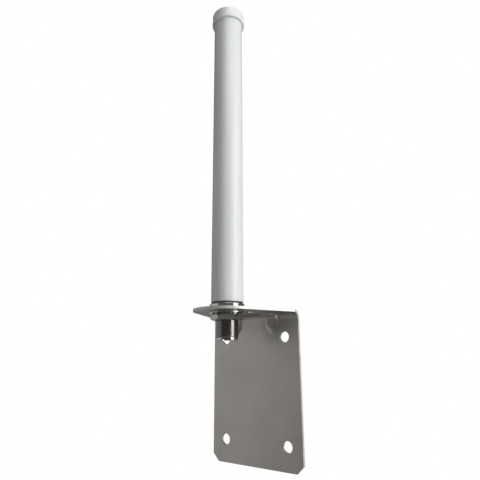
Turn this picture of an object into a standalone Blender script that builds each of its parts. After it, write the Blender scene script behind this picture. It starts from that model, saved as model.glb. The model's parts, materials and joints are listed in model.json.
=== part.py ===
"""Omnidirectional antenna on a bent-sheet wall bracket. Units are metres, +Z up.

The wall is the plane y = 0, the bracket's plate lies on its -Y side, and the flange
carries the antenna upright. Everything that turns about the antenna's axis is
parented to an empty on that axis, at the height of the flange's top face.
"""

from math import atan2, cos, hypot, pi, radians, sin, sqrt, tau

import bmesh
import bpy
from mathutils import Vector

# Bracket
SHEET = 0.0018
PLATE_WIDTH = 0.074
PLATE_HEIGHT = 0.102
PLATE_CORNER_CUT = 0.005
BEND_INNER_RADIUS = 0.004
AXIS_FROM_WALL = 0.032
NOSE_RADIUS = 0.023
ANTENNA_HOLE_RADIUS = 0.00815
FLANGE_HOLE_RADIUS = 0.002
FLANGE_HOLE_OFFSET = (0.0126, 0.0101)
BOLT_HOLE_RADIUS = 0.00365
BOLT_HOLE_X = 0.0257
BOLT_HOLE_UPPER_Z = 0.0332
BOLT_HOLE_LOWER_Z = -0.036
DART_X = 0.016
DART_HALF_WIDTH = 0.0058
DART_HEIGHT = 0.0018
DART_REACH = 0.0137
DART_STRAIGHT = 0.0015

# Connector, along the antenna's axis from the flange's top face
BARREL_RADIUS = 0.0254 * 5 / 16
BARREL_END = -0.0202
END_RING_RADIUS = 0.00715
END_RING_LENGTH = 0.0013
END_RING_CHAMFER = 0.0003
COLLAR_RADIUS = 0.01175
COLLAR_HEIGHT = 0.0038
COLLAR_CHAMFER = 0.0007
SPIGOT_RADIUS = 0.0088
SPIGOT_TOP = 0.014
SPIGOT_GROOVE_Z = 0.0085
SPIGOT_GROOVE_DEPTH = 0.0012
O_RING_RADIUS = 0.0007
MOUTH_RADIUS = 0.0053
MOUTH_DEPTH = 0.0010
SOCKET_RADIUS = 0.0042
SOCKET_DEPTH = 0.0100
CORE_RADIUS = 0.0036
CONTACT_RADIUS = 0.0015
CONTACT_RECESS = 0.0052
CONTACT_BORE_RADIUS = 0.00085
CONTACT_BORE_DEPTH = 0.0045
CONTACT_TOP = 0.0155
REAR_INSULATOR = (0.0040, 0.0120)
RETAINER = (0.0122, 0.0136)
RETAINER_BORE_RADIUS = 0.0022

# Clamping stack under the flange
FLAT_WASHER_RADIUS = 0.0120
FLAT_WASHER_THICKNESS = 0.0007
STAR_WASHER_RADIUS = 0.0105
STAR_WASHER_THICKNESS = 0.0009
STAR_TEETH = 14
STAR_TOOTH_DEPTH = 0.0016
STAR_TOOTH_SHARE = 0.62
STAR_TOOTH_TAPER = 0.06
NUT_ACROSS_FLATS = 0.0200
NUT_HEIGHT = 0.0038
NUT_CHAMFER = 0.0009
NUT_CROWN_INSET = 0.0002
NUT_TURN = radians(5)
CLAMP_BORE_RADIUS = 0.00815

# Radome and cap
TUBE_RADIUS = 0.0110
TUBE_WALL = 0.0020
TUBE_TOP = 0.2364
SEAL_RADIUS = 0.0104
SEAL_BORE_RADIUS = 0.0089
SEAL_HEIGHT = 0.0006
CAP_RADIUS = 0.01285
CAP_BOTTOM = 0.2294
CAP_TOP = 0.2390
CAP_TOP_ROUNDING = 0.0014
CAP_LIP_ROUNDING = 0.0005

# Radiator inside the radome
COAX_RADIUS = 0.0018
FEED_POINT = 0.0600
SLEEVE_RADIUS = 0.0055
SLEEVE_WALL = 0.0008
SLEEVE_BOTTOM = 0.0190
ROD_RADIUS = 0.0015
COIL_BOTTOM = 0.1180
COIL_TOP = 0.1380
COIL_TURNS = 4
COIL_RADIUS = 0.0040
COIL_WIRE_RADIUS = 0.0007
FORMER_RADIUS = 0.0030
ROD_SEAT_DEPTH = 0.0040
UPPER_ROD_TOP = 0.2150
FOAM_HEIGHT = 0.0100
FOAM_RING_CENTRES = {"lower": 0.0400, "middle": 0.0900, "upper": 0.1800}
FOAM_PLUG_HEIGHT = 0.0120

# Building
GAP = 0.0001
OVERSHOOT = 0.001
ROUND_STEPS = 48
ARC_STEPS = 6
DART_STEPS = 16
STAR_ARC_STEPS = 2
MERGE = 0.00001

MATERIALS = {
    "stainless_sheet": ((0.46, 0.45, 0.44, 1), 0.36, 1.0),
    "nickel_plate": ((0.62, 0.61, 0.60, 1), 0.22, 1.0),
    "washer_steel": ((0.70, 0.69, 0.67, 1), 0.28, 1.0),
    "spring_steel": ((0.55, 0.54, 0.52, 1), 0.32, 1.0),
    "white_radome": ((0.80, 0.82, 0.83, 1), 0.42, 0.0),
    "white_cap": ((0.83, 0.84, 0.85, 1), 0.38, 0.0),
    "black_rubber": ((0.03, 0.03, 0.03, 1), 0.70, 0.0),
    "ptfe": ((0.86, 0.85, 0.82, 1), 0.50, 0.0),
    "gold_plate": ((0.83, 0.62, 0.27, 1), 0.25, 1.0),
    "brass": ((0.72, 0.55, 0.27, 1), 0.35, 1.0),
    "copper": ((0.72, 0.40, 0.25, 1), 0.35, 1.0),
    "foam": ((0.78, 0.78, 0.74, 1), 0.90, 0.0),
}


def clear_scene():
    for obj in list(bpy.data.objects):
        bpy.data.objects.remove(obj)


def new_collection(name):
    collection = bpy.data.collections.new(name)
    bpy.context.scene.collection.children.link(collection)
    return collection


def material(name):
    made = bpy.data.materials.get(name)
    if made:
        return made
    colour, roughness, metallic = MATERIALS[name]
    made = bpy.data.materials.new(name)
    made.use_nodes = True
    shader = made.node_tree.nodes["Principled BSDF"]
    shader.inputs["Base Color"].default_value = colour
    shader.inputs["Roughness"].default_value = roughness
    shader.inputs["Metallic"].default_value = metallic
    return made


def place(obj, parent=None, material_name=None):
    """Puts the object in the parts' collection, or with no material in the cutters'."""
    for collection in list(obj.users_collection):
        collection.objects.unlink(obj)
    if material_name:
        parts.objects.link(obj)
        obj.data.materials.clear()
        obj.data.materials.append(material(material_name))
    else:
        cutters.objects.link(obj)
        obj.hide_render = True
        obj.display_type = "WIRE"
    obj.parent = parent
    return obj


def smooth(obj):
    """Smooth shading, with the edges over 30 degrees kept sharp."""
    obj.data.shade_smooth()
    obj.data.set_sharp_from_angle(angle=pi / 6)
    return obj


def turned(name, profile, parent, material_name=None, steps=ROUND_STEPS):
    """Screws (radius, height) points, which run down the outer side, round the axis."""
    mesh = bpy.data.meshes.new(name)
    points = [(radius, 0, height) for radius, height in profile]
    edges = [(i, i + 1) for i in range(len(points) - 1)]
    if profile[0][0] > 0:
        edges.append((len(points) - 1, 0))
    mesh.from_pydata(points, edges, [])
    obj = bpy.data.objects.new(name, mesh)
    screw = obj.modifiers.new("turn", "SCREW")
    screw.steps = steps
    screw.render_steps = steps
    screw.use_merge_vertices = True
    screw.merge_threshold = MERGE
    screw.use_smooth_shade = True
    return place(obj, parent, material_name)


def ring(name, outer, inner, bottom, top, parent, material_name=None):
    profile = [(inner, top), (outer, top), (outer, bottom), (inner, bottom)]
    return turned(name, profile, parent, material_name)


def rod(name, radius, bottom, top, parent, material_name=None):
    bpy.ops.mesh.primitive_cylinder_add(
        vertices=ROUND_STEPS, radius=radius, depth=top - bottom, location=(0, 0, (bottom + top) / 2)
    )
    obj = bpy.context.object
    obj.name = name
    return place(smooth(obj), parent, material_name)


def arc(centre, radius, start, end, steps=ARC_STEPS):
    """Points on an arc, as (across, up) pairs."""
    angles = [start + (end - start) * i / steps for i in range(steps + 1)]
    return [(centre[0] + radius * cos(a), centre[1] + radius * sin(a)) for a in angles]


def as_mesh(obj):
    """The evaluated curve as a closed mesh object, in the curve's place."""
    bpy.context.scene.collection.objects.link(obj)
    bpy.context.view_layer.update()
    graph = bpy.context.evaluated_depsgraph_get()
    mesh = bpy.data.meshes.new_from_object(obj.evaluated_get(graph))
    shape = bmesh.new()
    shape.from_mesh(mesh)
    bmesh.ops.remove_doubles(shape, verts=shape.verts, dist=MERGE)
    bmesh.ops.recalc_face_normals(shape, faces=shape.faces)
    shape.to_mesh(mesh)
    shape.free()
    name = obj.name
    obj.name = f"{name}_curve"
    solid = bpy.data.objects.new(name, mesh)
    solid.matrix_world = obj.matrix_world
    bpy.data.objects.remove(obj)
    return solid


def slab(name, outlines, half_depth, location=(0, 0, 0), rotation=(0, 0, 0)):
    """Flat outlines, filled and extruded both ways."""
    curve = bpy.data.curves.new(name, "CURVE")
    curve.dimensions = "2D"
    curve.fill_mode = "BOTH"
    curve.extrude = half_depth
    for outline in outlines:
        spline = curve.splines.new("POLY")
        spline.points.add(len(outline) - 1)
        for point, (across, up) in zip(spline.points, outline):
            point.co = (across, up, 0, 1)
        spline.use_cyclic_u = True
    obj = bpy.data.objects.new(name, curve)
    obj.location = location
    obj.rotation_euler = rotation
    return as_mesh(obj)


def combine(obj, operation, *others):
    for other in others:
        boolean = obj.modifiers.new(other.name, "BOOLEAN")
        boolean.operation = operation
        boolean.solver = "EXACT"
        boolean.object = other


ALONG_X = (pi / 2, 0, pi / 2)
HALF_WIDTH = PLATE_WIDTH / 2
HALF_HEIGHT = PLATE_HEIGHT / 2
BEND_CENTRE = (-SHEET - BEND_INNER_RADIUS, HALF_HEIGHT - SHEET - BEND_INNER_RADIUS)


def sheet_section():
    """The bent sheet's section, as (y, z) points."""
    nose = -AXIS_FROM_WALL - NOSE_RADIUS - OVERSHOOT
    outer = arc(BEND_CENTRE, BEND_INNER_RADIUS + SHEET, 0, pi / 2)
    inner = arc(BEND_CENTRE, BEND_INNER_RADIUS, pi / 2, 0)
    return (
        [(-SHEET, -HALF_HEIGHT), (0, -HALF_HEIGHT)]
        + outer
        + [(nose, HALF_HEIGHT), (nose, HALF_HEIGHT - SHEET)]
        + inner
    )


def flange_outline():
    """The flange from above: a round nose whose tangents reach the full width at the bend."""
    from_axis = BEND_CENTRE[0] + AXIS_FROM_WALL
    tangent = atan2(from_axis, HALF_WIDTH) - atan2(
        sqrt(hypot(from_axis, HALF_WIDTH) ** 2 - NOSE_RADIUS**2), NOSE_RADIUS
    )
    nose = arc((0, -AXIS_FROM_WALL), NOSE_RADIUS, pi - tangent, tau + tangent, 4 * ARC_STEPS)
    across = HALF_WIDTH + OVERSHOOT
    slope = (BEND_CENTRE[0] - nose[-1][1]) / (HALF_WIDTH - nose[-1][0])
    kink = BEND_CENTRE[0] + slope * OVERSHOOT
    behind = SHEET
    return nose + [(across, kink), (across, behind), (-across, behind), (-across, kink)]


def dart_bar(name, metal):
    """A round-ended bar whose side stands in from the sheet, less this much metal, to form a dart."""
    bulge = (DART_HALF_WIDTH**2 + DART_HEIGHT**2) / (2 * DART_HEIGHT)
    tip = (DART_REACH - BEND_INNER_RADIUS - DART_STRAIGHT) * bulge / DART_HALF_WIDTH - metal
    radius = bulge - metal
    round_end = [(radius * cos(a), tip * sin(a)) for a in (-pi / 2 * i / DART_STEPS for i in range(DART_STEPS))]
    top = DART_REACH + bulge
    bar = turned(name, [(0, top), (radius, top)] + round_end + [(0, -tip)], None, steps=2 * ROUND_STEPS)
    return bar, bulge - DART_HEIGHT


def dart_bars(name, metal, x):
    """The pair of bars that forms a dart, one along the plate and one along the flange."""
    on_plate, depth = dart_bar(f"{name}_plate", metal)
    on_plate.location = (x, depth - SHEET, BEND_CENTRE[1] - DART_STRAIGHT)
    on_flange, depth = dart_bar(f"{name}_flange", metal)
    on_flange.location = (x, BEND_CENTRE[0] - DART_STRAIGHT, HALF_HEIGHT - SHEET + depth)
    on_flange.rotation_euler = (-pi / 2, 0, 0)
    return on_plate, on_flange


def dart_limit():
    """The room that a dart's metal may take: the sheet's middle layer and the corner it encloses."""
    reach = DART_REACH + SHEET
    back = -SHEET / 2
    top = HALF_HEIGHT - SHEET / 2
    outline = (
        [(back, HALF_HEIGHT - SHEET - reach)]
        + arc(BEND_CENTRE, BEND_INNER_RADIUS + SHEET / 2, 0, pi / 2)
        + [(-SHEET - reach, top)]
    )
    return place(slab("dart_limit", [outline], HALF_WIDTH - SHEET, rotation=ALONG_X))


def drill(name, radius, location, rotation=(0, 0, 0)):
    bpy.ops.mesh.primitive_cylinder_add(
        vertices=ROUND_STEPS, radius=radius, depth=4 * SHEET, location=location, rotation=rotation
    )
    bpy.context.object.name = name
    return place(bpy.context.object)


def corner_cutter(name, x):
    side = PLATE_CORNER_CUT * sqrt(2)
    bpy.ops.mesh.primitive_cube_add(
        size=side, location=(x, -SHEET / 2, -HALF_HEIGHT), rotation=(0, pi / 4, 0)
    )
    bpy.context.object.name = name
    return place(bpy.context.object)


def wall_bracket():
    sheet = slab("wall_bracket", [sheet_section()], HALF_WIDTH, rotation=ALONG_X)
    place(sheet, material_name="stainless_sheet")
    combine(sheet, "INTERSECT", place(slab("flange_outline", [flange_outline()], PLATE_HEIGHT)))
    limit = dart_limit()
    for side, x in (("left", -DART_X), ("right", DART_X)):
        for bar in dart_bars(f"dart_{side}", 0, x):
            combine(bar, "INTERSECT", limit)
            combine(sheet, "UNION", bar)
        combine(sheet, "DIFFERENCE", *dart_bars(f"dimple_{side}", SHEET, x))
        combine(sheet, "DIFFERENCE", corner_cutter(f"corner_{side}", HALF_WIDTH * (1 if x > 0 else -1)))
    for x in (-BOLT_HOLE_X, BOLT_HOLE_X):
        for z in (BOLT_HOLE_LOWER_Z, BOLT_HOLE_UPPER_Z):
            hole = drill("bolt_hole", BOLT_HOLE_RADIUS, (x, -SHEET / 2, z), (pi / 2, 0, 0))
            combine(sheet, "DIFFERENCE", hole)
    flange_z = HALF_HEIGHT - SHEET / 2
    x, y = FLANGE_HOLE_OFFSET
    combine(
        sheet,
        "DIFFERENCE",
        drill("antenna_hole", ANTENNA_HOLE_RADIUS, (0, -AXIS_FROM_WALL, flange_z)),
        drill("flange_hole", FLANGE_HOLE_RADIUS, (x, y - AXIS_FROM_WALL, flange_z)),
    )
    return sheet


def connector_body(axis):
    """Collar, spigot for the tube and threaded barrel, bored through in steps from the mouth."""
    groove_top = SPIGOT_GROOVE_Z + 2 * O_RING_RADIUS
    groove_radius = SPIGOT_RADIUS - SPIGOT_GROOVE_DEPTH
    ring_top = BARREL_END + END_RING_LENGTH
    profile = [
        (CORE_RADIUS, SPIGOT_TOP),
        (SPIGOT_RADIUS, SPIGOT_TOP),
        (SPIGOT_RADIUS, groove_top),
        (groove_radius, groove_top),
        (groove_radius, SPIGOT_GROOVE_Z - GAP),
        (SPIGOT_RADIUS, SPIGOT_GROOVE_Z - GAP),
        (SPIGOT_RADIUS, COLLAR_HEIGHT),
        (COLLAR_RADIUS - COLLAR_CHAMFER, COLLAR_HEIGHT),
        (COLLAR_RADIUS, COLLAR_HEIGHT - COLLAR_CHAMFER),
        (COLLAR_RADIUS, GAP),
        (BARREL_RADIUS, GAP),
        (BARREL_RADIUS, ring_top + BARREL_RADIUS - END_RING_RADIUS),
        (END_RING_RADIUS, ring_top),
        (END_RING_RADIUS, BARREL_END + END_RING_CHAMFER),
        (END_RING_RADIUS - END_RING_CHAMFER, BARREL_END),
        (MOUTH_RADIUS, BARREL_END),
        (MOUTH_RADIUS, BARREL_END + MOUTH_DEPTH),
        (SOCKET_RADIUS, BARREL_END + MOUTH_DEPTH),
        (SOCKET_RADIUS, BARREL_END + SOCKET_DEPTH),
        (CORE_RADIUS, BARREL_END + SOCKET_DEPTH),
    ]
    turned("connector_body", profile, axis, "nickel_plate")


def connector_core(axis):
    """The insulated centre contact and what holds it in the body."""
    fit = CORE_RADIUS - GAP
    contact_hole = CONTACT_RADIUS + GAP
    front = BARREL_END + SOCKET_DEPTH
    ring("front_insulator", fit, contact_hole, front, REAR_INSULATOR[0] - GAP, axis, "ptfe")
    ring("rear_insulator", fit, contact_hole, *REAR_INSULATOR, axis, "ptfe")
    ring("retaining_ring", fit, RETAINER_BORE_RADIUS, *RETAINER, axis, "nickel_plate")
    tip = BARREL_END + CONTACT_RECESS
    bore_end = tip + CONTACT_BORE_DEPTH
    profile = [
        (0, CONTACT_TOP),
        (CONTACT_RADIUS, CONTACT_TOP),
        (CONTACT_RADIUS, tip),
        (CONTACT_BORE_RADIUS, tip),
        (CONTACT_BORE_RADIUS, bore_end),
        (0, bore_end),
    ]
    turned("centre_contact", profile, axis, "gold_plate", ROUND_STEPS // 2)


def seals(axis):
    bottom = COLLAR_HEIGHT + GAP
    ring("seal_ring", SEAL_RADIUS, SEAL_BORE_RADIUS, bottom, bottom + SEAL_HEIGHT, axis, "black_rubber")
    centre = (SPIGOT_RADIUS - SPIGOT_GROOVE_DEPTH + O_RING_RADIUS + GAP, SPIGOT_GROOVE_Z + O_RING_RADIUS - GAP / 2)
    section = arc(centre, O_RING_RADIUS - GAP, pi, -pi, 2 * ARC_STEPS)[:-1]
    turned("spigot_o_ring", section, axis, "black_rubber")


def star_outline():
    """Outer edge of the toothed washer."""
    root = STAR_WASHER_RADIUS - STAR_TOOTH_DEPTH
    share = tau / STAR_TEETH
    points = []
    for tooth in range(STAR_TEETH):
        start = tooth * share
        end = start + share * STAR_TOOTH_SHARE
        taper = share * STAR_TOOTH_TAPER
        points += arc((0, 0), STAR_WASHER_RADIUS, start, end, STAR_ARC_STEPS)
        points += arc((0, 0), root, end + taper, start + share - taper, STAR_ARC_STEPS)
    return points


def clamping_stack(axis):
    """Flat washer, star washer and nut under the flange."""
    flat_top = -SHEET - GAP
    flat_bottom = flat_top - FLAT_WASHER_THICKNESS
    ring("flat_washer", FLAT_WASHER_RADIUS, CLAMP_BORE_RADIUS, flat_bottom, flat_top, axis, "washer_steel")

    star_middle = flat_bottom - GAP - STAR_WASHER_THICKNESS / 2
    bore = arc((0, 0), CLAMP_BORE_RADIUS, 0, tau, ROUND_STEPS)[:-1]
    star = slab("star_washer", [star_outline(), bore], STAR_WASHER_THICKNESS / 2, (0, 0, star_middle))
    place(star, axis, "spring_steel")

    nut_top = star_middle - STAR_WASHER_THICKNESS / 2 - GAP
    nut_bottom = nut_top - NUT_HEIGHT
    corner_radius = NUT_ACROSS_FLATS / sqrt(3)
    bpy.ops.mesh.primitive_cylinder_add(
        vertices=6,
        radius=corner_radius,
        depth=NUT_HEIGHT,
        location=(0, 0, (nut_top + nut_bottom) / 2),
        rotation=(0, 0, NUT_TURN),
    )
    nut = bpy.context.object
    nut.name = "hex_nut"
    place(nut, axis, "nickel_plate")
    wide = corner_radius + OVERSHOOT
    narrow = NUT_ACROSS_FLATS / 2 - NUT_CROWN_INSET
    rise = (wide - narrow) * NUT_CHAMFER / (corner_radius - narrow)
    envelope = [
        (CLAMP_BORE_RADIUS, nut_top + OVERSHOOT),
        (narrow - OVERSHOOT, nut_top + OVERSHOOT),
        (narrow, nut_top),
        (wide, nut_top - rise),
        (wide, nut_bottom + rise),
        (narrow, nut_bottom),
        (narrow - OVERSHOOT, nut_bottom - OVERSHOOT),
        (CLAMP_BORE_RADIUS, nut_bottom - OVERSHOOT),
    ]
    combine(nut, "INTERSECT", turned("nut_envelope", envelope, axis))


def radome(axis):
    bottom = COLLAR_HEIGHT + SEAL_HEIGHT + 2 * GAP
    ring("radome_tube", TUBE_RADIUS, TUBE_RADIUS - TUBE_WALL, bottom, TUBE_TOP, axis, "white_radome")
    bore = TUBE_RADIUS + GAP
    ceiling = TUBE_TOP + GAP
    top_round = arc((CAP_RADIUS - CAP_TOP_ROUNDING, CAP_TOP - CAP_TOP_ROUNDING), CAP_TOP_ROUNDING, pi / 2, 0)
    lip_round = arc((CAP_RADIUS - CAP_LIP_ROUNDING, CAP_BOTTOM + CAP_LIP_ROUNDING), CAP_LIP_ROUNDING, 0, -pi / 2, 3)
    profile = [(0, CAP_TOP)] + top_round + lip_round
    profile += [(bore, CAP_BOTTOM), (bore, ceiling), (0, ceiling)]
    turned("top_cap", profile, axis, "white_cap")


def phasing_coil(axis):
    """The wire helix between the two radiator rods."""
    curve = bpy.data.curves.new("phasing_coil", "CURVE")
    curve.dimensions = "3D"
    curve.bevel_depth = COIL_WIRE_RADIUS
    curve.bevel_resolution = 2
    curve.use_fill_caps = True
    steps = 16 * COIL_TURNS
    low = COIL_BOTTOM + 2 * COIL_WIRE_RADIUS
    high = COIL_TOP - 2 * COIL_WIRE_RADIUS
    spline = curve.splines.new("POLY")
    spline.points.add(steps)
    for i, point in enumerate(spline.points):
        turn = tau * COIL_TURNS * i / steps
        height = low + (high - low) * i / steps
        point.co = (COIL_RADIUS * cos(turn), COIL_RADIUS * sin(turn), height, 1)
    coil = as_mesh(bpy.data.objects.new("phasing_coil", curve))
    place(smooth(coil), axis, "copper")


def radiator(axis):
    """Fed sleeve, two rods joined over a phasing coil, and the foam that centres them."""
    rod("feed_coax", COAX_RADIUS, CONTACT_TOP + GAP, FEED_POINT - GAP, axis, "copper")
    sleeve_bore = SLEEVE_RADIUS - SLEEVE_WALL
    ring("ground_sleeve", SLEEVE_RADIUS, sleeve_bore, SLEEVE_BOTTOM, FEED_POINT, axis, "brass")
    seat_low = COIL_BOTTOM + ROD_SEAT_DEPTH
    seat_high = COIL_TOP - ROD_SEAT_DEPTH
    rod("lower_radiator", ROD_RADIUS, FEED_POINT, seat_low - GAP, axis, "brass")
    rod("upper_radiator", ROD_RADIUS, seat_high + GAP, UPPER_ROD_TOP, axis, "brass")
    seat = ROD_RADIUS + GAP
    former = [
        (seat, COIL_TOP),
        (FORMER_RADIUS, COIL_TOP),
        (FORMER_RADIUS, COIL_BOTTOM),
        (seat, COIL_BOTTOM),
        (seat, seat_low),
        (0, seat_low),
    ]
    upper_seat = rod("upper_seat", seat, seat_high, COIL_TOP + OVERSHOOT, axis)
    solid_former = [(0, COIL_TOP)] + former[1:]
    combine(turned("coil_former", solid_former, axis, "ptfe"), "DIFFERENCE", upper_seat)
    phasing_coil(axis)

    foam_radius = TUBE_RADIUS - TUBE_WALL - GAP
    for name, centre in FOAM_RING_CENTRES.items():
        bore = (SLEEVE_RADIUS if centre < FEED_POINT else ROD_RADIUS) + GAP
        low = centre - FOAM_HEIGHT / 2
        ring(f"{name}_foam_ring", foam_radius, bore, low, low + FOAM_HEIGHT, axis, "foam")
    rod("foam_plug", foam_radius, TUBE_TOP - FOAM_PLUG_HEIGHT, TUBE_TOP - GAP, axis, "foam")


clear_scene()
parts = new_collection("omnidirectional_antenna")
cutters = new_collection("cutters")
cutters.hide_render = True

antenna_axis = bpy.data.objects.new("antenna_axis", None)
antenna_axis.location = Vector((0, -AXIS_FROM_WALL, HALF_HEIGHT))
parts.objects.link(antenna_axis)

wall_bracket()
connector_body(antenna_axis)
connector_core(antenna_axis)
seals(antenna_axis)
clamping_stack(antenna_axis)
radome(antenna_axis)
radiator(antenna_axis)
bpy.context.view_layer.update()
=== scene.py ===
"""Looks of the omnidirectional antenna on its wall bracket. Metres, +Z up, wall at y = 0."""

import json
from math import acos, atan2, cos, hypot, pi, radians, sin, sqrt, tau
import bmesh
import bpy
from mathutils import Euler, Matrix, Vector
from mathutils.geometry import area_tri, delaunay_2d_cdt


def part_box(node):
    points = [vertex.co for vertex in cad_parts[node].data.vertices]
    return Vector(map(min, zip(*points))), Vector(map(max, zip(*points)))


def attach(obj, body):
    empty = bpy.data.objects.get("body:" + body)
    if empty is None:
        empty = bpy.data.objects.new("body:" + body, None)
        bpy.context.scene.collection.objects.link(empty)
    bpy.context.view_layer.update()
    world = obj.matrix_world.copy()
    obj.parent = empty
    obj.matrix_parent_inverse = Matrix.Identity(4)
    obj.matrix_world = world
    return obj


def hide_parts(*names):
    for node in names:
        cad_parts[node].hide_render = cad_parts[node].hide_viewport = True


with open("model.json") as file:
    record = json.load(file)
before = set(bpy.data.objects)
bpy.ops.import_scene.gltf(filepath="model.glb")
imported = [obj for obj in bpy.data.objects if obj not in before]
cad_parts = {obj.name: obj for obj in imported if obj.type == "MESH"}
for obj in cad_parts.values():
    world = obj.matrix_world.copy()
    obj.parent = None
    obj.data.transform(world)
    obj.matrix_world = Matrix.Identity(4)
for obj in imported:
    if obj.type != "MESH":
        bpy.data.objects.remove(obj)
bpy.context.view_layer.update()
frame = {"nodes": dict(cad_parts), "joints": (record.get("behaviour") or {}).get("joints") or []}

JOINTS = {joint["name"]: joint for joint in frame["joints"]}
AXIS = Vector(JOINTS["antenna_turn"]["pos_m"])

# Bracket sheet
SHEET = 0.0018
BEND_RADIUS = 0.004
NOSE_RADIUS = 0.023
CORNER_CUT = 0.005
ANTENNA_HOLE_RADIUS = 0.00815
FLANGE_HOLE = (0.0126, 0.0101, 0.002)
BOLT_HOLE_RADIUS = 0.00365
BOLT_HOLE_X = 0.0257
BOLT_HOLES_Z = (-0.036, 0.0332)
DART_X = 0.016
DART_HALF_WIDTH = 0.0058
DART_REACH = 0.0137
DART_STRAIGHT = 0.0015
DART_HEIGHT = 0.0018
DART_SLOPE = 0.45
DART_FALL = 0.35
EDGE_ROUNDING = 0.0003
BEVEL_ANGLE = radians(55)
MERGE_DISTANCE = 1e-7

# Spacing of the bracket's mesh points over the flat sheet, in metres
NOSE_STEPS = 40
OUTLINE_STEP = 0.0012
DART_STEP = 0.0004
BEND_STEPS = (0.0018, 0.0008)
WIDE_STEPS = (0.0045, 0.0040)
EDGE_CLEARANCE = 0.0006
WIDE_CLEARANCE = 0.001
SMALLEST_TRIANGLE = 1e-9

# Connector, from the flange's top face
THREAD_PITCH = 0.0254 / 24
THREAD_CREST = 0.0254 * 5 / 16
THREAD_DEPTH_SHARE = 0.6134
THREAD_ROOT = THREAD_CREST - THREAD_DEPTH_SHARE * THREAD_PITCH
THREAD_FLATS = ((0.0, THREAD_CREST), (0.125, THREAD_CREST), (0.479, THREAD_ROOT), (0.646, THREAD_ROOT))
COLLAR_RADIUS = 0.01175
COLLAR_HEIGHT = 0.0038
COLLAR_CHAMFER = 0.0007
SPIGOT_RADIUS = 0.0088
MOUTH_RADIUS = 0.0053
MOUTH_DEPTH = 0.0010
SOCKET_RADIUS = 0.0042
SOCKET_DEPTH = 0.0100
CORE_RADIUS = 0.0036
END_RING_RADIUS = 0.00715
END_RING_LENGTH = 0.0013
SPIGOT_GROOVE = (0.0084, 0.0099, 0.0012)
THREAD_TOP = -0.0012
THREAD_RUNOUT = THREAD_PITCH
THREAD_CLEARANCE = 0.00008
ROWS_PER_PITCH = 4
CONTACT_RADIUS = 0.0015
CONTACT_BORE_RADIUS = 0.00085
CONTACT_BORE_DEPTH = 0.0045
CONTACT_SLOT = 0.0003
CONTACT_ROUNDING = 0.00015
GAP = 0.0001

# Clamping stack
CLAMP_BORE_RADIUS = 0.00815
STAR_RADIUS = 0.0105
STAR_TEETH = 14
STAR_TOOTH_DEPTH = 0.0016
STAR_TOOTH_SHARE = 0.62
STAR_SHEET = 0.0005
STAR_ROUNDING = 0.00008
STAR_TWIST_GAIN = 1.6
STAR_STEPS_IN_TOOTH = 8
STAR_STEPS_IN_GAP = 5
STAR_RING_STEPS = 2
STAR_TOOTH_STEPS = 5
NUT_ACROSS_FLATS = 0.0200
NUT_CHAMFER = 0.0009
NUT_CROWN_INSET = 0.0002
NUT_ANGLE = radians(35)
NUT_EDGE_ROUNDING = 0.00015

# Radome
TUBE_RADIUS = 0.0110
TUBE_BORE_RADIUS = 0.0090
SEAL_BORE_RADIUS = 0.0089
CAP_ROUNDING = 0.0014
CAP_DOME = 0.0003
CAP_SKIRT_INSET = 0.0003
CAP_RIM_HEIGHT = 0.0022
CAP_RIM_ROUNDING = 0.0004
CAP_DOME_STEPS = 6
CAP_SHOULDER_STEPS = 10

INNER_NODES = {
    "rear_insulator": "ptfe",
    "retaining_ring": "nickel_plate",
    "spigot_o_ring": "black_rubber",
    "feed_coax": "copper",
    "ground_sleeve": "brass",
    "lower_radiator": "brass",
    "coil_former": "ptfe",
    "phasing_coil": "copper",
    "upper_radiator": "brass",
    "lower_foam_ring": "foam",
    "middle_foam_ring": "foam",
    "upper_foam_ring": "foam",
    "foam_plug": "foam",
}

# Studio
DARK = 0.015
DIM = 0.14
SURROUND_LEVELS = ((0.34, DARK), (0.46, DIM), (0.60, DIM), (0.74, DARK))
FLOOR_Z = -0.45
FLOOR_HALF_SIZE = 4.0
FLOOR_GREY = 0.45

# Softboxes: azimuth and elevation in degrees, distance, width and height in metres, radiance
SOFTBOXES = {
    "key": (97, 4, 0.8, (0.38, 1.2), 4.8),
    "overhead": (50, 52, 0.9, (0.5, 0.5), 2.4),
    "fill": (-58, 0, 0.8, (1.05, 1.2), 0.40),
    "bounce": (-72, -52, 0.8, (0.45, 0.45), 2.6),
    "backdrop": (215, -4, 1.2, (1.6, 0.5), 0.5),
}

# Camera, from the antenna's axis at the flange's top face
CAMERA_OFFSET = (0.1878, -0.2283, -0.0330)
CAMERA_YAW = radians(37.73)
CAMERA_PITCH = radians(15.47)
CAMERA_ROLL = radians(-0.24)
CAMERA_LENS = 32.55
CAMERA_SENSOR = 36
CAMERA_CLIP_START = 0.01


# ---------------------------------------------------------------- shapes


def finish_piece(name, mesh, materials, sharp=30):
    """An object of this mesh with its materials, smooth except at its sharp edges."""
    mesh.shade_smooth()
    mesh.set_sharp_from_angle(angle=radians(sharp))
    for made in materials:
        mesh.materials.append(made)
    obj = bpy.data.objects.new(name, mesh)
    bpy.context.scene.collection.objects.link(obj)
    return obj


def mesh_from(name, vertices, faces):
    mesh = bpy.data.meshes.new(name)
    mesh.from_pydata(vertices, [], faces)
    shape = bmesh.new()
    shape.from_mesh(mesh)
    bmesh.ops.remove_doubles(shape, verts=shape.verts, dist=MERGE_DISTANCE)
    bmesh.ops.recalc_face_normals(shape, faces=shape.faces)
    shape.to_mesh(mesh)
    shape.free()
    return mesh


def even_angles(count):
    return [tau * i / count for i in range(count)]


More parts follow.
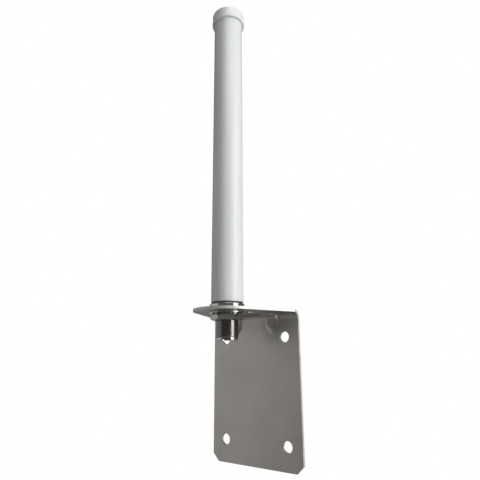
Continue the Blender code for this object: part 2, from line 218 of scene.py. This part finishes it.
def turned(name, rows, materials, sides=96, helix=None, sharp=30):
    """Turns rows of (radius, height) round the antenna's axis. A row may be a function of the angle.

    The helix gives the first and last of the rows that wind: after a full turn each of
    them meets the row one pitch higher.
    """
    count = len(rows)
    vertices = []
    for angle in even_angles(sides):
        for row in rows:
            radius, height = row(angle) if callable(row) else row
            across, along = radius * cos(angle), radius * sin(angle)
            vertices.append((AXIS.x + across, AXIS.y + along, AXIS.z + height))
    faces = []
    for i in range(sides):
        here, there = i * count, (i + 1) % sides * count
        for j in range(count - 1):
            low, high = j, j + 1
            if helix and i == sides - 1:
                low, high = wound_on(low, helix), wound_on(high, helix)
            faces.append((here + j, here + j + 1, there + high, there + low))
    return finish_piece(name, mesh_from(name, vertices, faces), materials, sharp)


def wound_on(row, helix):
    """The row that this one meets after a full turn of the helix."""
    first, last = helix
    return max(row - ROWS_PER_PITCH, first) if first <= row <= last else row


def rounded(profile, radius, steps=3, closed=True):
    """The profile with each of its corners replaced by a small arc."""
    result = []
    count = len(profile)
    for i, corner in enumerate(profile):
        if not closed and i in (0, count - 1):
            result.append(corner)
            continue
        here = Vector(corner)
        before = Vector(profile[i - 1]) - here
        after = Vector(profile[(i + 1) % count]) - here
        reach = min(radius, before.length * 0.45, after.length * 0.45)
        start = here + before.normalized() * reach
        end = here + after.normalized() * reach
        for step in range(steps + 1):
            t = step / steps
            point = start * (1 - t) ** 2 + here * 2 * t * (1 - t) + end * t**2
            result.append((point.x, point.y))
    return result


def ring_rows(profile, radius):
    rows = rounded(profile, radius)
    return rows + [rows[0]]


def span(node):
    """The lowest and highest point of a CAD node, from the flange's top face."""
    low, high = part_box(node)
    return low[2] - AXIS.z, high[2] - AXIS.z


def radius_of(node):
    low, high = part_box(node)
    return (high[0] - low[0]) / 2


# ---------------------------------------------------------------- materials

NOISE_ROUGHNESS = 0.55
RAMP_START = 0.3
RAMP_END = 0.7


class Nodes:
    """A material under construction: its tree and the few node patterns used here."""

    def __init__(self, name, colour, roughness, metallic=0.0):
        self.material = bpy.data.materials.new(name)
        self.material.use_nodes = True
        self.tree = self.material.node_tree
        self.shader = self.tree.nodes["Principled BSDF"]
        self.shader.inputs["Base Color"].default_value = (*colour, 1)
        self.shader.inputs["Roughness"].default_value = roughness
        self.shader.inputs["Metallic"].default_value = metallic
        self.place = self.tree.nodes.new("ShaderNodeTexCoord").outputs["Object"]

    def link(self, source, target):
        self.tree.links.new(source, target)

    def scaled_place(self, scale):
        mapping = self.tree.nodes.new("ShaderNodeMapping")
        mapping.inputs["Scale"].default_value = scale
        self.link(self.place, mapping.inputs["Vector"])
        return mapping.outputs["Vector"]

    def noise(self, scale, detail=4.0):
        """Noise with this many features a metre along X, Y and Z."""
        noise = self.tree.nodes.new("ShaderNodeTexNoise")
        noise.inputs["Scale"].default_value = 1.0
        noise.inputs["Detail"].default_value = detail
        noise.inputs["Roughness"].default_value = NOISE_ROUGHNESS
        self.link(self.scaled_place(scale), noise.inputs["Vector"])
        return noise.outputs["Fac"]

    def ramp(self, factor, low, high):
        """A value from low to high as the factor crosses the middle of its range."""
        node = self.tree.nodes.new("ShaderNodeMapRange")
        node.interpolation_type = "SMOOTHSTEP"
        node.inputs["From Min"].default_value = RAMP_START
        node.inputs["From Max"].default_value = RAMP_END
        node.inputs["To Min"].default_value = low
        node.inputs["To Max"].default_value = high
        self.link(factor, node.inputs["Value"])
        return node.outputs["Result"]

    def tint(self, factor, low, high, start=RAMP_START, end=RAMP_END):
        """Base colour from low to high as the factor goes from start to end."""
        ramp = self.tree.nodes.new("ShaderNodeValToRGB")
        ramp.color_ramp.elements[0].position = start
        ramp.color_ramp.elements[1].position = end
        ramp.color_ramp.elements[0].color = (*low, 1)
        ramp.color_ramp.elements[1].color = (*high, 1)
        self.link(factor, ramp.inputs["Fac"])
        self.link(ramp.outputs["Color"], self.shader.inputs["Base Color"])

    def rough(self, factor, low, high):
        self.link(self.ramp(factor, low, high), self.shader.inputs["Roughness"])

    def bump(self, factor, height):
        bump = self.tree.nodes.new("ShaderNodeBump")
        bump.inputs["Strength"].default_value = 1.0
        bump.inputs["Distance"].default_value = height
        self.link(factor, bump.inputs["Height"])
        self.link(bump.outputs["Normal"], self.shader.inputs["Normal"])


def steel_sheet():
    """Fine satin stainless, ground along the bend, with faint smudges."""
    made = Nodes("stainless_sheet", (0.50, 0.485, 0.465), 0.34, 1.0)
    grain = made.noise((60, 5200, 5200), 3)
    smudge = made.noise((38, 38, 38), 3)
    made.tint(smudge, (0.53, 0.505, 0.478), (0.605, 0.58, 0.55), 0.25, 0.75)
    made.rough(grain, 0.36, 0.48)
    made.bump(grain, 0.000006)
    return made.material


def sheared_edge():
    """The sheet's cut edge: bright, with the marks of the press along its thickness."""
    made = Nodes("sheared_edge", (0.74, 0.73, 0.72), 0.62, 0.8)
    marks = made.noise((5200, 5200, 900), 3)
    made.tint(marks, (0.70, 0.69, 0.68), (0.78, 0.77, 0.76))
    made.rough(marks, 0.56, 0.68)
    made.bump(marks, 0.000004)
    return made.material


def nickel(name, roughness, turning=True):
    """Bright nickel plate over turned brass, with fine tool marks round it."""
    made = Nodes(name, (0.64, 0.62, 0.59), roughness, 1.0)
    bloom = made.noise((160, 160, 160), 4)
    made.tint(bloom, (0.58, 0.56, 0.535), (0.65, 0.635, 0.61))
    made.rough(bloom, roughness * 0.75, roughness * 1.35)
    if turning:
        made.bump(made.noise((40, 40, 9000), 2), 0.000002)
    else:
        made.bump(made.noise((700, 700, 2500), 3), 0.000004)
    return made.material


def plain_metal(name, dark, light, roughness, scale=900):
    made = Nodes(name, light, roughness, 1.0)
    mottle = made.noise((scale, scale, scale), 4)
    made.tint(mottle, dark, light)
    made.rough(mottle, roughness * 0.8, roughness * 1.3)
    made.bump(mottle, 0.000006)
    return made.material


def radome_white():
    """Painted tube: a faint orange peel and a little colour drift along it."""
    made = Nodes("white_radome", (0.83, 0.85, 0.86), 0.38)
    drift = made.noise((30, 30, 14), 3)
    made.tint(drift, (0.81, 0.83, 0.84), (0.85, 0.865, 0.875))
    peel = made.noise((1400, 1400, 1400), 2)
    made.rough(made.noise((220, 220, 120), 4), 0.32, 0.44)
    made.bump(peel, 0.000012)
    return made.material


def cap_white():
    """Moulded plastic with a fine spark-eroded texture."""
    made = Nodes("white_cap", (0.90, 0.91, 0.92), 0.36)
    made.tint(made.noise((45, 45, 45), 3), (0.885, 0.895, 0.90), (0.915, 0.925, 0.93))
    texture = made.noise((4200, 4200, 4200), 3)
    made.rough(texture, 0.32, 0.45)
    made.bump(texture, 0.000008)
    return made.material


def soft_solid(name, dark, light, roughness, scale, height, detail=5.0):
    made = Nodes(name, light, roughness)
    grain = made.noise((scale, scale, scale), detail)
    made.tint(grain, dark, light)
    made.rough(grain, roughness * 0.85, min(roughness * 1.1, 1.0))
    made.bump(grain, height)
    return made.material


MATERIALS = {
    "stainless_sheet": steel_sheet(),
    "nickel_plate": nickel("nickel_plate", 0.14),
    "nickel_hex": nickel("nickel_hex", 0.15, turning=False),
    # The thread's metal is darker than the plate: painted shade for the grooves between its flanks.
    "thread_painted_shade": plain_metal("thread_painted_shade", (0.34, 0.33, 0.315), (0.44, 0.43, 0.41), 0.18),
    "washer_steel": plain_metal("washer_steel", (0.62, 0.61, 0.59), (0.74, 0.73, 0.70), 0.24),
    "spring_steel": plain_metal("spring_steel", (0.52, 0.51, 0.49), (0.68, 0.67, 0.64), 0.20),
    "white_radome": radome_white(),
    "white_cap": cap_white(),
    "black_rubber": soft_solid(
        "black_rubber", (0.018, 0.018, 0.019), (0.035, 0.035, 0.036), 0.6, 2500, 0.00001
    ),
    "ptfe": soft_solid("ptfe", (0.80, 0.79, 0.76), (0.88, 0.875, 0.85), 0.45, 1200, 0.000008),
    "gold_plate": plain_metal("gold_plate", (0.78, 0.56, 0.22), (0.88, 0.67, 0.32), 0.2, 1800),
    "brass": plain_metal("brass", (0.60, 0.44, 0.20), (0.76, 0.59, 0.30), 0.32, 500),
    "copper": plain_metal("copper", (0.62, 0.32, 0.19), (0.78, 0.45, 0.30), 0.32, 700),
    "foam": soft_solid("foam", (0.62, 0.62, 0.58), (0.84, 0.84, 0.80), 0.9, 1400, 0.0002, 8.0),
}
SHEARED_EDGE = sheared_edge()


# ---------------------------------------------------------------- bracket

PLATE_LOW, PLATE_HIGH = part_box("wall_bracket")
HALF_WIDTH = PLATE_HIGH[0]
PLATE_BOTTOM = PLATE_LOW[2]
BEND_Y = -SHEET - BEND_RADIUS
BEND_Z = PLATE_HIGH[2] - SHEET - BEND_RADIUS
BEND_LENGTH = BEND_RADIUS * pi / 2


def arc(centre, radius, start, end, steps):
    angles = [start + (end - start) * i / steps for i in range(steps + 1)]
    return [(centre[0] + radius * cos(a), centre[1] + radius * sin(a)) for a in angles]


def along_flange(y):
    """Distance along the flat sheet, from the bend's lower edge, of a place on the flange."""
    return BEND_LENGTH + BEND_Y - y


def flat_outline():
    """The sheet before it is bent: plate below zero, bend, then the flange with its round nose."""
    nose_centre = (0, along_flange(AXIS.y))
    from_nose = nose_centre[1] - BEND_LENGTH
    reach = hypot(HALF_WIDTH, from_nose)
    tilt = acos(NOSE_RADIUS / reach) - atan2(from_nose, HALF_WIDTH)
    bottom = PLATE_BOTTOM - BEND_Z
    corners = [
        (-HALF_WIDTH, BEND_LENGTH),
        (-HALF_WIDTH, bottom + CORNER_CUT),
        (-HALF_WIDTH + CORNER_CUT, bottom),
        (HALF_WIDTH - CORNER_CUT, bottom),
        (HALF_WIDTH, bottom + CORNER_CUT),
        (HALF_WIDTH, BEND_LENGTH),
    ]
    nose = arc(nose_centre, NOSE_RADIUS, tilt, pi - tilt, NOSE_STEPS)
    return subdivided(corners + nose, OUTLINE_STEP)


def subdivided(loop, spacing):
    result = []
    for i, start in enumerate(loop):
        end = loop[(i + 1) % len(loop)]
        pieces = max(1, round(hypot(end[0] - start[0], end[1] - start[1]) / spacing))
        for k in range(pieces):
            t = k / pieces
            result.append((start[0] + (end[0] - start[0]) * t, start[1] + (end[1] - start[1]) * t))
    return result


def flat_holes():
    """Each hole in the flat sheet, as (centre, radius, sides)."""
    holes = [
        ((x, z - BEND_Z), BOLT_HOLE_RADIUS, 48)
        for x in (-BOLT_HOLE_X, BOLT_HOLE_X)
        for z in BOLT_HOLES_Z
    ]
    holes.append(((0, along_flange(AXIS.y)), ANTENNA_HOLE_RADIUS, 72))
    x, y, radius = FLANGE_HOLE
    holes.append(((x, along_flange(AXIS.y + y)), radius, 32))
    return holes


def inside(point, loop):
    crossings = 0
    for i, (x1, y1) in enumerate(loop):
        x2, y2 = loop[(i + 1) % len(loop)]
        if (y1 > point[1]) != (y2 > point[1]):
            if point[0] < x1 + (point[1] - y1) * (x2 - x1) / (y2 - y1):
                crossings += 1
    return crossings % 2 == 1


def distance_to(point, loop):
    best = 1.0
    for i, (x1, y1) in enumerate(loop):
        x2, y2 = loop[(i + 1) % len(loop)]
        dx, dy = x2 - x1, y2 - y1
        t = ((point[0] - x1) * dx + (point[1] - y1) * dy) / (dx * dx + dy * dy)
        t = min(1.0, max(0.0, t))
        best = min(best, hypot(point[0] - x1 - t * dx, point[1] - y1 - t * dy))
    return best


def grid(low, high, step_x, step_y):
    """Points of a staggered grid over a box of the flat sheet."""
    width, height = high[0] - low[0], high[1] - low[1]
    rows = round(height / step_y)
    columns = round(width / step_x)
    return [
        (low[0] + (i + 0.5 * (j % 2)) * width / columns, low[1] + j * height / rows)
        for j in range(rows + 1)
        for i in range(columns + 1)
    ]


def flat_points(outline, holes):
    """Inner points of the flat sheet: close together over the darts and the bend, wide apart elsewhere."""
    half = DART_HALF_WIDTH + EDGE_CLEARANCE
    low = BEND_RADIUS - DART_REACH - EDGE_CLEARANCE
    high = BEND_LENGTH - low

    def beside_darts(x, clearance):
        return abs(abs(x) - DART_X) > half + clearance

    points = []
    for x in (-DART_X, DART_X):
        points += grid((x - half, low), (x + half, high), DART_STEP, DART_STEP)
    over = (HALF_WIDTH, BEND_LENGTH + DART_STEP)
    bend = grid((-HALF_WIDTH, -DART_STEP), over, *BEND_STEPS)
    points += [(x, t) for x, t in bend if beside_darts(x, DART_STEP)]
    top = along_flange(AXIS.y) + NOSE_RADIUS
    for x, t in grid((-HALF_WIDTH, PLATE_BOTTOM - BEND_Z), (HALF_WIDTH, top), *WIDE_STEPS):
        off_bend = not -2 * WIDE_CLEARANCE < t < BEND_LENGTH + 2 * WIDE_CLEARANCE
        past_darts = not low - WIDE_CLEARANCE < t < high + WIDE_CLEARANCE
        if off_bend and (past_darts or not abs(abs(x) - DART_X) < half + WIDE_CLEARANCE):
            points.append((x, t))
    return [p for p in points if is_clear(p, outline, holes)]


def is_clear(point, outline, holes):
    """The point is on the sheet and not too near a hole or the outline."""
    x, y = point
    if any(hypot(x - c[0], y - c[1]) <= radius + EDGE_CLEARANCE for c, radius, _ in holes):
        return False
    return inside(point, outline) and distance_to(point, outline) > EDGE_CLEARANCE


def dart_height(x, t):
    """How far a dart's crest stands in from the flat sheet here: a bead with rounded ends across the bend."""
    across = abs(abs(x) - DART_X) / DART_HALF_WIDTH
    from_bend = max(-t, t - BEND_LENGTH, 0)
    past = max(from_bend - DART_STRAIGHT, 0) / (DART_REACH - BEND_RADIUS - DART_STRAIGHT)
    share = min(max((1 - hypot(across, past)) / DART_SLOPE, 0), 1)
    rise = DART_HEIGHT * (1 - DART_FALL * from_bend / DART_REACH)
    return rise * share * share * (3 - 2 * share)


def bent(point):
    """The flat sheet's point on the bracket's inner face, pushed in where a dart is pressed."""
    x, t = point
    height = dart_height(x, t)
    if t <= 0:
        return (x, -SHEET - height, BEND_Z + t)
    if t >= BEND_LENGTH:
        return (x, BEND_Y - (t - BEND_LENGTH), BEND_Z + BEND_RADIUS - height)
    angle = t / BEND_RADIUS
    radius = BEND_RADIUS - height
    return (x, BEND_Y + radius * cos(angle), BEND_Z + radius * sin(angle))


def bracket():
    outline = flat_outline()
    holes = flat_holes()
    loops = [outline] + [arc(c, r, 0, tau, n)[:-1] for c, r, n in holes]
    points = []
    edges = []
    for loop in loops:
        first = len(points)
        points += loop
        edges += [(first + i, first + (i + 1) % len(loop)) for i in range(len(loop))]
    points += flat_points(outline, holes)
    coordinates, _, triangles, *_ = delaunay_2d_cdt([Vector(p) for p in points], edges, [], 0, 1e-7)
    kept = []
    for triangle in triangles:
        middle = [sum(coordinates[i][k] for i in triangle) / 3 for k in (0, 1)]
        in_hole = any(hypot(middle[0] - c[0], middle[1] - c[1]) < r * cos(pi / n) for c, r, n in holes)
        too_thin = area_tri(*[coordinates[i] for i in triangle]) < SMALLEST_TRIANGLE
        if inside(middle, outline) and not in_hole and not too_thin:
            kept.append(triangle)
    mesh = mesh_from("bracket_sheet", [bent(p) for p in coordinates], kept)
    plate_face = next(p for p in mesh.polygons if p.center.z < 0 and abs(p.normal.y) > 0.9)
    if plate_face.normal.y > 0:
        mesh.flip_normals()
    sheet = finish_piece("bracket_sheet", mesh, [MATERIALS["stainless_sheet"], SHEARED_EDGE], 40)
    thicken(sheet, SHEET, -1, EDGE_ROUNDING, rim_material=1)
    settle(sheet, "bracket", "wall_bracket")


# ---------------------------------------------------------------- connector


def thread_rows(low, high, clearance, end_radius):
    """Rows of a right-handed thread from high to low, crest and root each with a small flat.

    All threads here share one helix, so a nut with some clearance stays in step with its screw.
    """
    lowest = int(low // THREAD_PITCH) - 1
    highest = int(high // THREAD_PITCH) + 1
    rows = []
    for turn in range(highest, lowest - 1, -1):
        for phase, radius in reversed(THREAD_FLATS):

            def row(angle, turn=turn, phase=phase, radius=radius + clearance):
                height = THREAD_PITCH * (turn + phase + angle / tau)
                height = min(max(height, low), high)
                fade = min(height - low, high - height, THREAD_RUNOUT) / THREAD_RUNOUT
                return end_radius + (radius - end_radius) * sqrt(fade), height

            rows.append(row)
    return rows


def connector():
    barrel_end, spigot_top = span("connector_body")
    ring_top = barrel_end + END_RING_LENGTH
    groove_radius = SPIGOT_RADIUS - SPIGOT_GROOVE[2]
    above = [
        (CORE_RADIUS, spigot_top),
        (SPIGOT_RADIUS, spigot_top),
        (SPIGOT_RADIUS, SPIGOT_GROOVE[1]),
        (groove_radius, SPIGOT_GROOVE[1]),
        (groove_radius, SPIGOT_GROOVE[0]),
        (SPIGOT_RADIUS, SPIGOT_GROOVE[0]),
        (SPIGOT_RADIUS, COLLAR_HEIGHT),
        (COLLAR_RADIUS - COLLAR_CHAMFER, COLLAR_HEIGHT),
        (COLLAR_RADIUS, COLLAR_HEIGHT - COLLAR_CHAMFER),
        (COLLAR_RADIUS, GAP),
        (THREAD_ROOT, GAP),
        (THREAD_ROOT, THREAD_TOP),
    ]
    below = [
        (THREAD_ROOT, ring_top + GAP),
        (END_RING_RADIUS, ring_top),
        (END_RING_RADIUS, barrel_end),
        (MOUTH_RADIUS, barrel_end),
        (MOUTH_RADIUS, barrel_end + MOUTH_DEPTH),
        (SOCKET_RADIUS, barrel_end + MOUTH_DEPTH),
        (SOCKET_RADIUS, barrel_end + SOCKET_DEPTH),
        (CORE_RADIUS, barrel_end + SOCKET_DEPTH),
    ]
    outside = rounded(above, EDGE_ROUNDING / 2, closed=False)[:-1]
    thread = thread_rows(ring_top + GAP, THREAD_TOP, 0, THREAD_ROOT)
    inside_mouth = rounded(below, EDGE_ROUNDING / 2, closed=False)[1:]
    rows = outside + thread + inside_mouth + outside[:1]
    helix = (len(outside), len(outside) + len(thread) - 1)
    plate_and_shaded_thread = [MATERIALS["nickel_plate"], MATERIALS["thread_painted_shade"]]
    body = turned("connector_shell", rows, plate_and_shaded_thread, 120, helix)
    # Faces of the thread take the darker metal: painted shade for its grooves.
    for face in body.data.polygons:
        height = face.center.z - AXIS.z
        from_axis = hypot(face.center.x - AXIS.x, face.center.y - AXIS.y)
        if ring_top < height < THREAD_TOP and from_axis > MOUTH_RADIUS:
            face.material_index = 1
    settle(body, "antenna", "connector_body")


def hex_radius(angle):
    """Distance from the nut's middle to its side at this angle."""
    turn = (angle - NUT_ANGLE) % (pi / 3) - pi / 6
    return min(NUT_ACROSS_FLATS / 2 / cos(turn), NUT_ACROSS_FLATS / sqrt(3) - NUT_EDGE_ROUNDING)


def hex_nut():
    """Nut with its corners turned off at both ends and a bore that follows the barrel's thread."""
    low, high = span("hex_nut")
    corner = NUT_ACROSS_FLATS / sqrt(3)
    crown = NUT_ACROSS_FLATS / 2 - NUT_CROWN_INSET
    slope = NUT_CHAMFER / (corner - crown)

    def side_row(share):
        """A row on the nut's side: at share 0 on the lower chamfer's edge, at 1 on the upper one's."""

        def row(angle):
            radius = hex_radius(angle)
            drop = (radius - crown) * slope
            return radius, low + drop + share * (high - low - 2 * drop)

        return row

    bore = THREAD_CREST + THREAD_CLEARANCE + EDGE_ROUNDING
    thread = thread_rows(low + EDGE_ROUNDING, high - EDGE_ROUNDING, THREAD_CLEARANCE, bore)
    outer = [(bore + EDGE_ROUNDING, low), (crown, low)]
    outer += [side_row(share) for share in (0, 0.25, 0.5, 0.75, 1)]
    outer += [(crown, high), (bore + EDGE_ROUNDING, high)]
    rows = outer + thread + outer[:1]
    helix = (len(outer), len(outer) + len(thread) - 1)
    nut = turned("clamping_nut", rows, [MATERIALS["nickel_hex"]], 144, helix, 20)
    settle(nut, "nut", "hex_nut")


def star_columns():
    """Round the star washer: each column's place in teeth, its twist from -1 to 1, and if it is a tooth's."""
    columns = []
    for tooth in range(STAR_TEETH):
        for step in range(STAR_STEPS_IN_TOOTH):
            part = step / STAR_STEPS_IN_TOOTH
            columns.append((tooth + part * STAR_TOOTH_SHARE, 2 * part - 1, True))
        for step in range(STAR_STEPS_IN_GAP):
            part = step / STAR_STEPS_IN_GAP
            place = tooth + STAR_TOOTH_SHARE + part * (1 - STAR_TOOTH_SHARE)
            columns.append((place, 1 - 2 * part, False))
    return columns


def star_radii():
    """From the bore to the root of the teeth, then out along a tooth."""
    root = STAR_RADIUS - STAR_TOOTH_DEPTH
    ring = [
        CLAMP_BORE_RADIUS + (root - CLAMP_BORE_RADIUS) * i / STAR_RING_STEPS
        for i in range(STAR_RING_STEPS + 1)
    ]
    return ring + [root + STAR_TOOTH_DEPTH * i / STAR_TOOTH_STEPS for i in range(1, STAR_TOOTH_STEPS + 1)]


def star_washer():
    """Thin ring whose outer teeth are twisted, each the same way."""
    low, high = span("star_washer")
    middle = AXIS.z + (low + high) / 2
    half_rise = (high - low - STAR_SHEET) / 2
    columns = star_columns()
    radii = star_radii()
    twist_start = radii[1]
    vertices = []
    for place, across, _ in columns:
        angle = place * tau / STAR_TEETH
        for radius in radii:
            twist = max(radius - twist_start, 0) / (STAR_RADIUS - twist_start)
            rise = half_rise * across * min(1.0, STAR_TWIST_GAIN * twist)
            vertices.append((AXIS.x + radius * cos(angle), AXIS.y + radius * sin(angle), middle + rise))
    faces = []
    count = len(radii)
    for i, (_, _, in_tooth) in enumerate(columns):
        here, there = i * count, (i + 1) % len(columns) * count
        for j in range(count - 1 if in_tooth else STAR_RING_STEPS):
            faces.append((here + j, here + j + 1, there + j + 1, there + j))
    mesh = mesh_from("star_lock_washer", vertices, faces)
    drop_loose(mesh)
    washer = finish_piece("star_lock_washer", mesh, [MATERIALS["spring_steel"]], 40)
    thicken(washer, STAR_SHEET, 0, STAR_ROUNDING)
    settle(washer, "washers", "star_washer")


def drop_loose(mesh):
    shape = bmesh.new()
    shape.from_mesh(mesh)
    loose = [v for v in shape.verts if not v.link_faces]
    bmesh.ops.delete(shape, geom=loose, context="VERTS")
    shape.to_mesh(mesh)
    shape.free()


def thicken(obj, thickness, offset, rounding, rim_material=0):
    """Gives a sheet its thickness and breaks its edges."""
    solidify = obj.modifiers.new("thickness", "SOLIDIFY")
    solidify.thickness = thickness
    solidify.offset = offset
    solidify.material_offset_rim = rim_material
    bevel = obj.modifiers.new("broken edges", "BEVEL")
    bevel.width = rounding
    bevel.segments = 2
    bevel.limit_method = "ANGLE"
    bevel.angle_limit = BEVEL_ANGLE
    bevel.harden_normals = True


def plain_rings():
    """Rings whose edges only need rounding: each takes its size from its CAD node."""
    rings = {
        "flat_washer": ("pressed_washer", CLAMP_BORE_RADIUS, 0.00025, "washer_steel", "washers"),
        "seal_ring": ("foot_seal", SEAL_BORE_RADIUS, 0.0002, "black_rubber", "antenna"),
        "radome_tube": ("radome", TUBE_BORE_RADIUS, 0.0004, "white_radome", "antenna"),
        "front_insulator": ("front_bead", CONTACT_RADIUS + GAP, 0.0002, "ptfe", "antenna"),
    }
    for node, (name, bore, rounding, slot, body) in rings.items():
        low, high = span(node)
        radius = radius_of(node)
        section = [(bore, high), (radius, high), (radius, low), (bore, low)]
        piece = turned(name, ring_rows(section, rounding), [MATERIALS[slot]], 144)
        settle(piece, body, node)


def cap():
    """Moulded cap: a faintly domed top, a rounded shoulder and a thicker rim round its mouth."""
    low, high = span("top_cap")
    radius = radius_of("top_cap")
    bore = TUBE_RADIUS + GAP
    ceiling = span("radome_tube")[1] + GAP
    shoulder = radius - CAP_ROUNDING
    skirt = radius - CAP_SKIRT_INSET
    profile = [(0, high)]
    for step in range(1, CAP_DOME_STEPS):
        part = step / CAP_DOME_STEPS
        profile.append((shoulder * part, high - CAP_DOME * part**2))
    turn_centre = (skirt - CAP_ROUNDING, high - CAP_DOME - CAP_ROUNDING)
    profile += arc(turn_centre, CAP_ROUNDING, pi / 2, 0, CAP_SHOULDER_STEPS)
    rim = [
        (skirt, low + CAP_RIM_HEIGHT),
        (radius, low + CAP_RIM_HEIGHT - CAP_SKIRT_INSET),
        (radius, low),
        (bore, low),
        (bore, ceiling),
        (0, ceiling),
    ]
    rows = profile + rounded([profile[-1]] + rim, CAP_RIM_ROUNDING, 4, closed=False)[1:]
    piece = turned("radome_cap", rows, [MATERIALS["white_cap"]], 144)
    settle(piece, "antenna", "top_cap")


def centre_contact():
    """Gold female contact: a rod with a bored end, split into four fingers."""
    low, high = span("centre_contact")
    bore_end = low + CONTACT_BORE_DEPTH
    profile = [
        (0, high),
        (CONTACT_RADIUS, high),
        (CONTACT_RADIUS, low),
        (CONTACT_BORE_RADIUS, low),
        (CONTACT_BORE_RADIUS, bore_end),
        (0, bore_end),
    ]
    rows = rounded(profile, CONTACT_ROUNDING, closed=False)
    piece = turned("split_contact", rows, [MATERIALS["gold_plate"]], 64)
    slot_size = (4 * CONTACT_RADIUS, CONTACT_SLOT, 2 * CONTACT_BORE_DEPTH)
    for turn in (0, pi / 2):
        slot_block = block("contact_slot", slot_size, low, turn)
        cut = piece.modifiers.new("slot", "BOOLEAN")
        cut.operation = "DIFFERENCE"
        cut.solver = "EXACT"
        cut.object = slot_block
        bake(piece)
        bpy.data.objects.remove(slot_block)
    settle(piece, "antenna", "centre_contact")


def block(name, size, height, turn):
    """A box on the antenna's axis, used only to cut with."""
    shape = bmesh.new()
    bmesh.ops.create_cube(shape, size=1, matrix=Matrix.Diagonal((*size, 1)))
    mesh = bpy.data.meshes.new(name)
    shape.to_mesh(mesh)
    shape.free()
    obj = bpy.data.objects.new(name, mesh)
    obj.location = AXIS + Vector((0, 0, height))
    obj.rotation_euler = (0, 0, turn)
    bpy.context.scene.collection.objects.link(obj)
    return obj


def bake(obj):
    """Applies the object's modifiers."""
    bpy.context.view_layer.update()
    graph = bpy.context.evaluated_depsgraph_get()
    mesh = bpy.data.meshes.new_from_object(obj.evaluated_get(graph))
    obj.modifiers.clear()
    obj.data = mesh


def settle(piece, body, node):
    """The piece stands for this CAD node, which it hides, and moves with this body."""
    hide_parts(node)
    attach(piece, body)


def finish_cad_nodes():
    """The inner CAD nodes keep their shape and get the detailed materials."""
    for node, slot in INNER_NODES.items():
        slots = frame["nodes"][node].data.materials
        slots.clear()
        slots.append(MATERIALS[slot])


# ---------------------------------------------------------------- studio


def area_light(name, azimuth, elevation, distance, size, radiance):
    """A softbox facing the antenna's foot. Azimuth 0 is -Y, and 90 degrees is +X."""
    light = bpy.data.lights.new(name, "AREA")
    light.shape = "RECTANGLE"
    light.size, light.size_y = size
    light.energy = radiance * pi * size[0] * size[1]
    obj = bpy.data.objects.new(name, light)
    direction = Vector((sin(azimuth) * cos(elevation), -cos(azimuth) * cos(elevation), sin(elevation)))
    obj.location = AXIS + direction * distance
    obj.rotation_euler = direction.to_track_quat("Z", "Y").to_euler()
    obj.visible_camera = False
    bpy.context.scene.collection.objects.link(obj)


def studio_world():
    """A surround that is dim at eye level, dark above and below, and plain white to the camera itself."""
    world = bpy.data.worlds.new("studio")
    bpy.context.scene.world = world
    world.use_nodes = True
    tree = world.node_tree
    nodes = tree.nodes
    direction = nodes.new("ShaderNodeTexCoord")
    split = nodes.new("ShaderNodeSeparateXYZ")
    ramp = nodes.new("ShaderNodeValToRGB")
    path = nodes.new("ShaderNodeLightPath")
    white = nodes.new("ShaderNodeBackground")
    mix = nodes.new("ShaderNodeMixShader")
    ramp.color_ramp.elements[0].color = (DARK, DARK, DARK, 1)
    ramp.color_ramp.elements[1].color = (DARK, DARK, DARK, 1)
    for position, level in SURROUND_LEVELS:
        ramp.color_ramp.elements.new(position).color = (level, level, level, 1)
    raised = nodes.new("ShaderNodeMapRange")
    raised.inputs["From Min"].default_value = -1
    tree.links.new(direction.outputs["Generated"], split.inputs["Vector"])
    tree.links.new(split.outputs["Z"], raised.inputs["Value"])
    tree.links.new(raised.outputs["Result"], ramp.inputs["Fac"])
    tree.links.new(ramp.outputs["Color"], nodes["Background"].inputs["Color"])
    tree.links.new(path.outputs["Is Camera Ray"], mix.inputs["Fac"])
    tree.links.new(nodes["Background"].outputs["Background"], mix.inputs[1])
    tree.links.new(white.outputs["Background"], mix.inputs[2])
    tree.links.new(mix.outputs["Shader"], nodes["World Output"].inputs["Surface"])
    white.inputs["Color"].default_value = (1, 1, 1, 1)


def floor_paint():
    """Matt grey-white to the object, and seamless white to the camera."""
    made = Nodes("floor_paint", (FLOOR_GREY, FLOOR_GREY, FLOOR_GREY), 0.9)
    white = made.tree.nodes.new("ShaderNodeEmission")
    mix = made.tree.nodes.new("ShaderNodeMixShader")
    path = made.tree.nodes.new("ShaderNodeLightPath")
    output = made.tree.nodes["Material Output"]
    made.link(path.outputs["Is Camera Ray"], mix.inputs["Fac"])
    made.link(made.shader.outputs["BSDF"], mix.inputs[1])
    made.link(white.outputs["Emission"], mix.inputs[2])
    made.link(mix.outputs["Shader"], output.inputs["Surface"])
    return made.material


def floor():
    shape = bmesh.new()
    bmesh.ops.create_grid(shape, x_segments=8, y_segments=8, size=FLOOR_HALF_SIZE)
    mesh = bpy.data.meshes.new("floor")
    shape.to_mesh(mesh)
    shape.free()
    mesh.materials.append(floor_paint())
    obj = bpy.data.objects.new("floor", mesh)
    obj.location = (0, 0, FLOOR_Z)
    bpy.context.scene.collection.objects.link(obj)


def camera():
    data = bpy.data.cameras.new("camera")
    data.lens = CAMERA_LENS
    data.sensor_width = CAMERA_SENSOR
    data.clip_start = CAMERA_CLIP_START
    obj = bpy.data.objects.new("camera", data)
    turn = Euler((pi / 2 + CAMERA_PITCH, 0, CAMERA_YAW)).to_matrix() @ Matrix.Rotation(CAMERA_ROLL, 3, "Z")
    obj.rotation_euler = turn.to_euler()
    obj.location = AXIS + Vector(CAMERA_OFFSET)
    bpy.context.scene.collection.objects.link(obj)
    bpy.context.scene.camera = obj


def studio():
    for name, (azimuth, elevation, distance, size, radiance) in SOFTBOXES.items():
        area_light(name, radians(azimuth), radians(elevation), distance, size, radiance)
    studio_world()
    floor()
    camera()
    bpy.context.scene.view_settings.view_transform = "Standard"


bracket()
connector()
hex_nut()
star_washer()
plain_rings()
cap()
centre_contact()
finish_cad_nodes()
studio()
